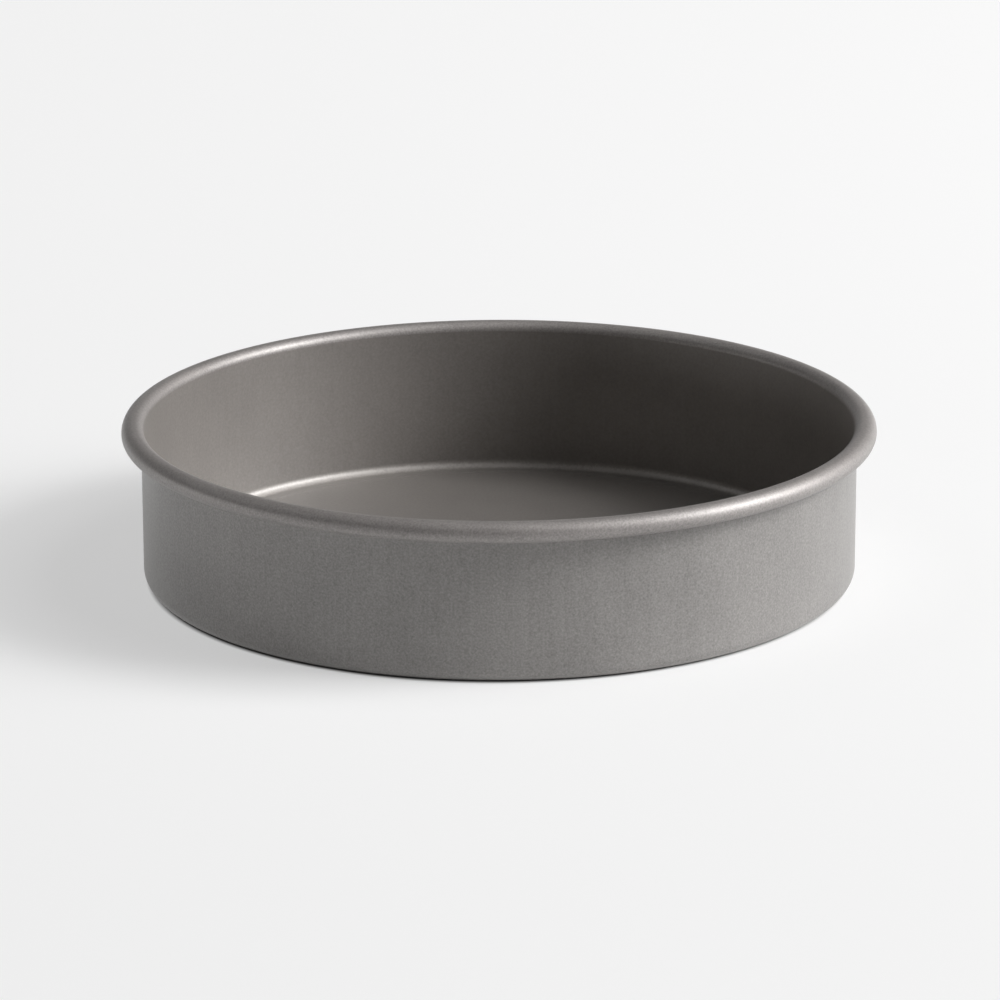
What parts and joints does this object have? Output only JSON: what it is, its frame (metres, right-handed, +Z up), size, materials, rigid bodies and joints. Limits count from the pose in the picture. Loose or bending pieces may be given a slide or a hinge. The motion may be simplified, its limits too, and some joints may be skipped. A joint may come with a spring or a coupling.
{
  "type": "round cake tin",
  "caption": "Straight-sided round cake tin drawn from one coated steel sheet, with a rounded base corner, a shallow pressed floor panel and a rim rolled outwards over a stiffening wire.",
  "frame": {"origin": "centre of the base, on the surface that the tin stands on", "axes": "+Z up, along the axis of the tin and out of its mouth; the tin is round, so X and Y are any two directions across it"},
  "size_m": [0.243, 0.243, 0.0525],
  "materials": {
    "coated_steel": "satin metallic grey non-stick coating with a fine grain",
    "steel_wire": "drawn bright wire"
  },
  "bodies": {
    "root": {"pan_shell": "coated_steel", "rim_wire": "steel_wire"}
  },
  "joints": []
}
